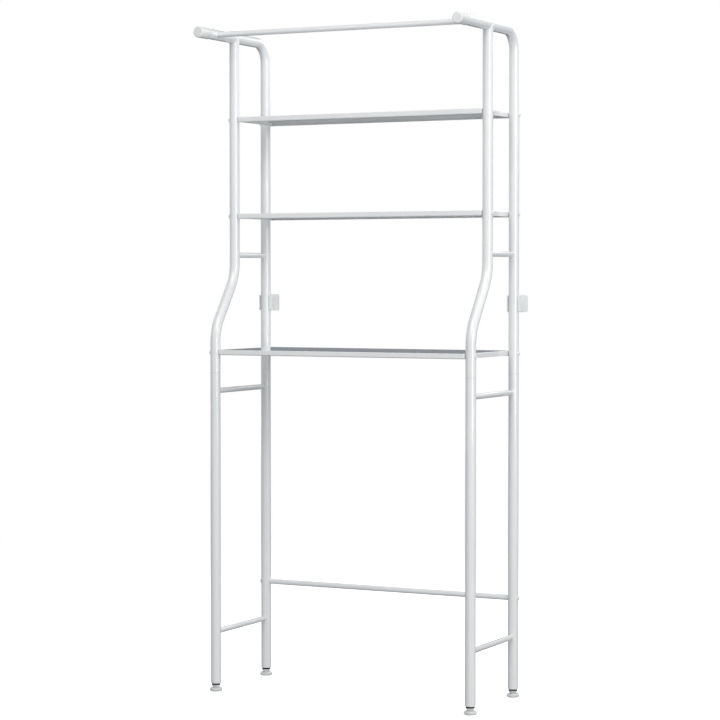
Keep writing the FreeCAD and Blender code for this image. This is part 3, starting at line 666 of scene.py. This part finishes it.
CLIP_WHITE = "#F3F4F4"
CLIP_SHADE = "#EEF0F0"
CLIP_GRAIN = 2.2 * MM         # a polished mould leaves no grain, only slow shallow waves
CLIP_GRAIN_DEPTH = 0.008 * MM
CLIP_FLOW = 30 * MM
FOAM_LIGHT = "#E2E3E1"
FOAM_HOLLOW_SHADE = "#B9BCBA"
FOAM_CELL = 0.9 * MM          # real cells are about 0.3 mm; drawn coarser so that they show
FOAM_CELL_DEPTH = 0.12 * MM
FOAM_HOLLOW = 0.1             # distance from a cell's middle, in cells: painted shade within this
FOAM_WALL = 0.5               # and light beyond this
FOAM_HOLLOW_ROUGH = 0.95
FOAM_WALL_ROUGH = 0.8

clip_plastic = moulded_plastic("waxy_white_polypropylene", CLIP_WHITE, CLIP_SHADE, CLIP_GRAIN,
                               CLIP_GRAIN_DEPTH, CLIP_FLOW, roughness=0.3, coat_weight=0.15)


def adhesive_foam():
    """Closed-cell polyethylene foam tape. Its cut cells leave it dull and grainy, with shade painted
    into their hollows.
    """
    foam = bpy.data.materials.new("closed_cell_adhesive_foam")
    tree = empty_tree(foam)
    place = add_node(tree, "ShaderNodeTexCoord").outputs["Object"]
    cells = add_node(tree, "ShaderNodeTexVoronoi", {"Vector": place},
                     {"Scale": 1 / FOAM_CELL, "Randomness": 0.9}).outputs["Distance"]
    # Painted shade: the colour darkens towards each cell's middle, where the bump makes a hollow
    tint = add_node(tree, "ShaderNodeValToRGB", {"Fac": cells})
    tint.color_ramp.elements[0].position = FOAM_HOLLOW
    tint.color_ramp.elements[0].color = linear(FOAM_HOLLOW_SHADE)
    tint.color_ramp.elements[1].position = FOAM_WALL
    tint.color_ramp.elements[1].color = linear(FOAM_LIGHT)
    rough = add_node(tree, "ShaderNodeMapRange", {"Value": cells},
                     {"To Min": FOAM_HOLLOW_ROUGH, "To Max": FOAM_WALL_ROUGH})
    bumped = add_node(tree, "ShaderNodeBump", {"Height": cells}, {"Distance": FOAM_CELL_DEPTH})
    shader = add_node(tree, "ShaderNodeBsdfPrincipled",
                      {"Base Color": tint.outputs["Color"], "Roughness": rough.outputs["Result"],
                       "Normal": bumped.outputs["Normal"]})
    add_node(tree, "ShaderNodeOutputMaterial", {"Surface": shader.outputs["BSDF"]})
    return foam


clip_foam = adhesive_foam()
for side in ("left", "right"):
    finish_node("wall_clip_" + side, clip_plastic)
    finish_node("wall_clip_adhesive_" + side, clip_foam)

# ---------------------------------------------------------------------------------- leg plugs
# Glass-filled black nylon plugs pressed into the legs, with a moulded-in thread for the
# foot's stud. Only their rims show, as a dark ring under each leg; their black also stands in
# for the shade in the gap between leg and foot, so the ring is partly painted shade.

PLUG_BLACK_AND_SHADE = "#0F1113"
PLUG_GREY_AND_SHADE = "#1B1E21"
PLUG_GRAIN = 0.9 * MM         # the glass fibres are 0.3 mm long; drawn coarser so that they show
PLUG_GRAIN_DEPTH = 0.02 * MM
PLUG_FLOW = 6 * MM

# Partly painted shade: the plug's black also stands in for the shade in the gap under each leg
plug_nylon_and_shade = moulded_plastic("glass_filled_black_nylon_and_painted_shade", PLUG_GREY_AND_SHADE, PLUG_BLACK_AND_SHADE, PLUG_GRAIN,
                             PLUG_GRAIN_DEPTH, PLUG_FLOW, roughness=0.55, coat_weight=0.0)
finish_node("leg_plugs", plug_nylon_and_shade)

# --------------------------------------------------------------------------------------- feet
# A levelling foot is three pieces: a pad that stays put on the floor, a grip that fingers turn,
# moulded round the stud, and the zinc-plated steel stud. Pad and grip are pale grey
# polyethylene with a soft moulded shine.

PAD_GREY = "#E6E7E7"
PAD_SHADE = "#D8DADA"
PAD_GRAIN = 1.3 * MM          # the real grain is 0.1 mm; drawn coarser so that it shows
PAD_GRAIN_DEPTH = 0.02 * MM
PAD_FLOW = 9 * MM
STUD_CREST = 4.0 * MM
STUD_ROOT = 3.3 * MM
STUD_PITCH = 1.25 * MM
STUD_RINGS = 8                # in one pitch
STUD_SHOE_RADIUS = 5.0 * MM
STUD_SHOE_HEIGHT = 5.4 * MM
STUD_CHAMFER = 1.0 * MM
SHOE_CHAMFER = STUD_CHAMFER / 3
ZINC_LIGHT = "#C9CDD1"
ZINC_DARK = "#A4ABB3"
ZINC_CRYSTAL = 1.6 * MM       # plated zinc's crystals can't be seen; drawn so that they show
ZINC_CLOUD = 4 * MM
ZINC_CLOUD_DEPTH = 0.01 * MM
ZINC_LIFT = 0.2               # added to crystals times clouds, so that little of it is dark
ZINC_DARKEST = 0.25
ZINC_LIGHTEST = 0.7
ZINC_SMOOTH = 0.22
ZINC_ROUGH = 0.42

pad_plastic = moulded_plastic("pale_grey_polyethylene", PAD_GREY, PAD_SHADE, PAD_GRAIN,
                              PAD_GRAIN_DEPTH, PAD_FLOW, roughness=0.34, coat_weight=0.3)


def bright_zinc():
    """Bright zinc plate over turned steel: cloudy crystals with a cool blue passivation."""
    zinc = bpy.data.materials.new("bright_zinc_plate")
    tree = empty_tree(zinc)
    place = add_node(tree, "ShaderNodeTexCoord").outputs["Object"]
    crystal = add_node(tree, "ShaderNodeTexVoronoi", {"Vector": place},
                       {"Scale": 1 / ZINC_CRYSTAL}).outputs["Color"]
    cloud = add_node(tree, "ShaderNodeTexNoise", {"Vector": place},
                     {"Scale": 1 / ZINC_CLOUD, "Detail": 4.0}).outputs["Fac"]
    grey = add_node(tree, "ShaderNodeRGBToBW", {"Color": crystal}).outputs["Val"]
    blend = add_node(tree, "ShaderNodeMath", {0: grey, 1: cloud}, {2: ZINC_LIFT},
                     operation="MULTIPLY_ADD")
    tint = add_node(tree, "ShaderNodeValToRGB", {"Fac": blend.outputs["Value"]})
    tint.color_ramp.elements[0].position = ZINC_DARKEST
    tint.color_ramp.elements[0].color = linear(ZINC_DARK)
    tint.color_ramp.elements[1].position = ZINC_LIGHTEST
    tint.color_ramp.elements[1].color = linear(ZINC_LIGHT)
    rough = add_node(tree, "ShaderNodeMapRange", {"Value": cloud},
                     {"To Min": ZINC_SMOOTH, "To Max": ZINC_ROUGH})
    bumped = add_node(tree, "ShaderNodeBump", {"Height": cloud}, {"Distance": ZINC_CLOUD_DEPTH})
    shader = add_node(tree, "ShaderNodeBsdfPrincipled",
                      {"Base Color": tint.outputs["Color"], "Roughness": rough.outputs["Result"],
                       "Normal": bumped.outputs["Normal"]}, {"Metallic": 1.0})
    add_node(tree, "ShaderNodeOutputMaterial", {"Surface": shader.outputs["BSDF"]})
    return zinc


def threaded_stud(corner):
    """The foot's stud with its rolled M8 thread, in its place under one leg."""
    low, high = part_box("foot_stud_" + corner)
    shoe_top = low.z + STUD_SHOE_HEIGHT
    rings = [ring(STUD_SHOE_RADIUS - SHOE_CHAMFER, low.z),
             ring(STUD_SHOE_RADIUS, low.z + SHOE_CHAMFER),
             ring(STUD_SHOE_RADIUS, shoe_top - SHOE_CHAMFER),
             ring(STUD_SHOE_RADIUS - SHOE_CHAMFER, shoe_top),
             ring(STUD_ROOT, shoe_top)]
    # The thread grows out of the root above the shoe, and shrinks into the tip's chamfer.
    step = STUD_PITCH / STUD_RINGS
    height = shoe_top + step
    while height < high.z - step / 2:
        run_in = STUD_ROOT + (height - shoe_top) / 2
        run_out = STUD_CREST - STUD_CHAMFER + high.z - height
        crest = min(STUD_CREST, run_in, run_out)
        root = min(STUD_ROOT, run_out)
        rings.append(ring(thread(max(crest, root), root, STUD_PITCH, height), height))
        height += step
    rings.append(ring(STUD_CREST - STUD_CHAMFER, high.z))
    mesh = skin("stud", rings, low.z, high.z)
    middle = (low + high) / 2
    mesh.transform(Matrix.Translation((middle.x, middle.y, 0)))
    mesh.materials.append(zinc_plate)
    stud = bpy.data.objects.new("threaded_stud_" + corner, mesh)
    scene.collection.objects.link(stud)
    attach(stud, "screw_" + corner)
    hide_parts("foot_stud_" + corner)


zinc_plate = bright_zinc()
for end in ("front", "rear"):
    for side in ("left", "right"):
        corner = f"{end}_{side}"
        finish_node("foot_pad_" + corner, pad_plastic)
        finish_node("foot_grip_" + corner, pad_plastic)
        threaded_stud(corner)

# -------------------------------------------------------------------------------- inner steel
# Zinc-plated pieces inside the tubes: the sleeves that join the upper frames to the legs, and
# the threaded slugs in the ends of the cross rail.

finish_node("leg_sleeves", zinc_plate)
finish_node("back_rail_end_nuts", zinc_plate)
